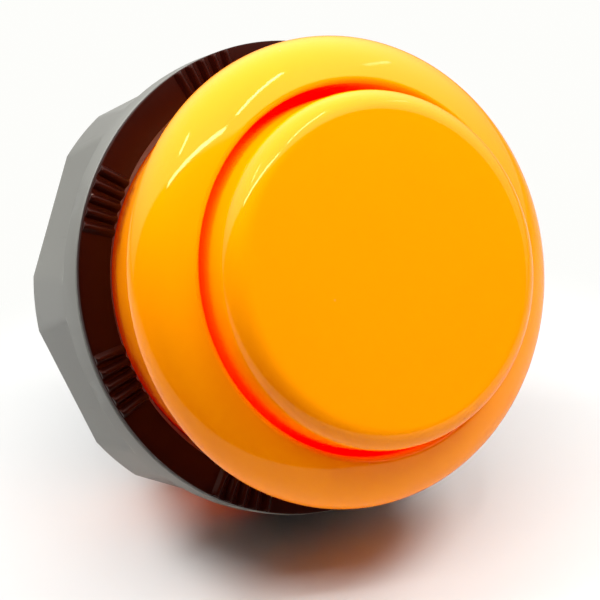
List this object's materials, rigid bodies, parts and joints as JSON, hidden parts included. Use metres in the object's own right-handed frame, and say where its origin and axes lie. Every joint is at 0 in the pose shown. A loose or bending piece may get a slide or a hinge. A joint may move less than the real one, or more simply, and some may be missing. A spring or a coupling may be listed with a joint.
{
  "type": "arcade push button",
  "caption": "Round screw-in push button with a domed rim, a sprung plunger, a ribbed panel washer, an octagonal ring nut and a snap-in microswitch.",
  "frame": {"origin": "on the button's axis, in the plane of the rim's underside, where the panel's front face lies", "axes": "+Z along the axis, out of the plunger's face; +X through the open terminal and +Y through one leg of the plunger; the picture is taken from the +X and +Z side, with +Y downwards"},
  "size_m": [0.035, 0.035, 0.0378],
  "materials": {
    "bezel_orange": "polished moulding",
    "plunger_orange": "polished moulding",
    "washer_black": "satin moulding",
    "nut_grey": "satin moulding",
    "holder_black": "satin moulding",
    "case_black": "fine matte moulding",
    "cover_red": "fine matte moulding",
    "actuator_white": "satin moulding",
    "spring_steel": "drawn wire",
    "blade_copper": "rolled strip",
    "contact_silver": "silver rivet",
    "terminal_brass": "stamped, lightly tarnished"
  },
  "bodies": {
    "housing": {"bezel": "bezel_orange", "switch_holder": "holder_black", "switch_case": "case_black", "switch_cover": "cover_red", "common_terminal": "terminal_brass", "open_terminal": "terminal_brass", "fixed_contact": "contact_silver", "return_spring": "spring_steel"},
    "plunger": {"plunger": "plunger_orange"},
    "actuator": {"switch_actuator": "actuator_white"},
    "blade": {"contact_blade": "blade_copper", "moving_contact": "contact_silver"},
    "washer": {"panel_washer": "washer_black"},
    "nut": {"ring_nut": "nut_grey"}
  },
  "joints": [
    {"name": "plunger_press", "type": "slide", "parent": "housing", "child": "plunger", "axis": [0, 0, -1], "range_m": [0, 0.0024], "stiffness_N_per_m": 150, "springref_m": -0.004, "deforming": ["return_spring"]},
    {"name": "actuator_slide", "type": "slide", "parent": "housing", "child": "actuator", "axis": [0, 0, -1], "range_m": [0, 0.0024]},
    {"name": "blade_rock", "type": "hinge", "parent": "housing", "child": "blade", "pos_m": [-0.0074, 0, -0.0188], "axis": [0, 1, 0], "range_deg": [0, 1.6]},
    {"name": "washer_slide", "type": "slide", "parent": "housing", "child": "washer", "axis": [0, 0, 1], "range_m": [-0.01201, 0]},
    {"name": "nut_turn", "type": "hinge", "parent": "washer", "child": "nut", "pos_m": [0, 0, 0], "axis": [0, 0, 1], "range_deg": [-2160, 0]}
  ],
  "couplings": [
    {"joint": "actuator_slide", "follows": "plunger_press", "ratio": 1},
    {"joint": "blade_rock", "follows": "plunger_press", "rad_per_m": 11.4},
    {"joint": "washer_slide", "follows": "nut_turn", "m_per_rad": 0.00031831}
  ]
}
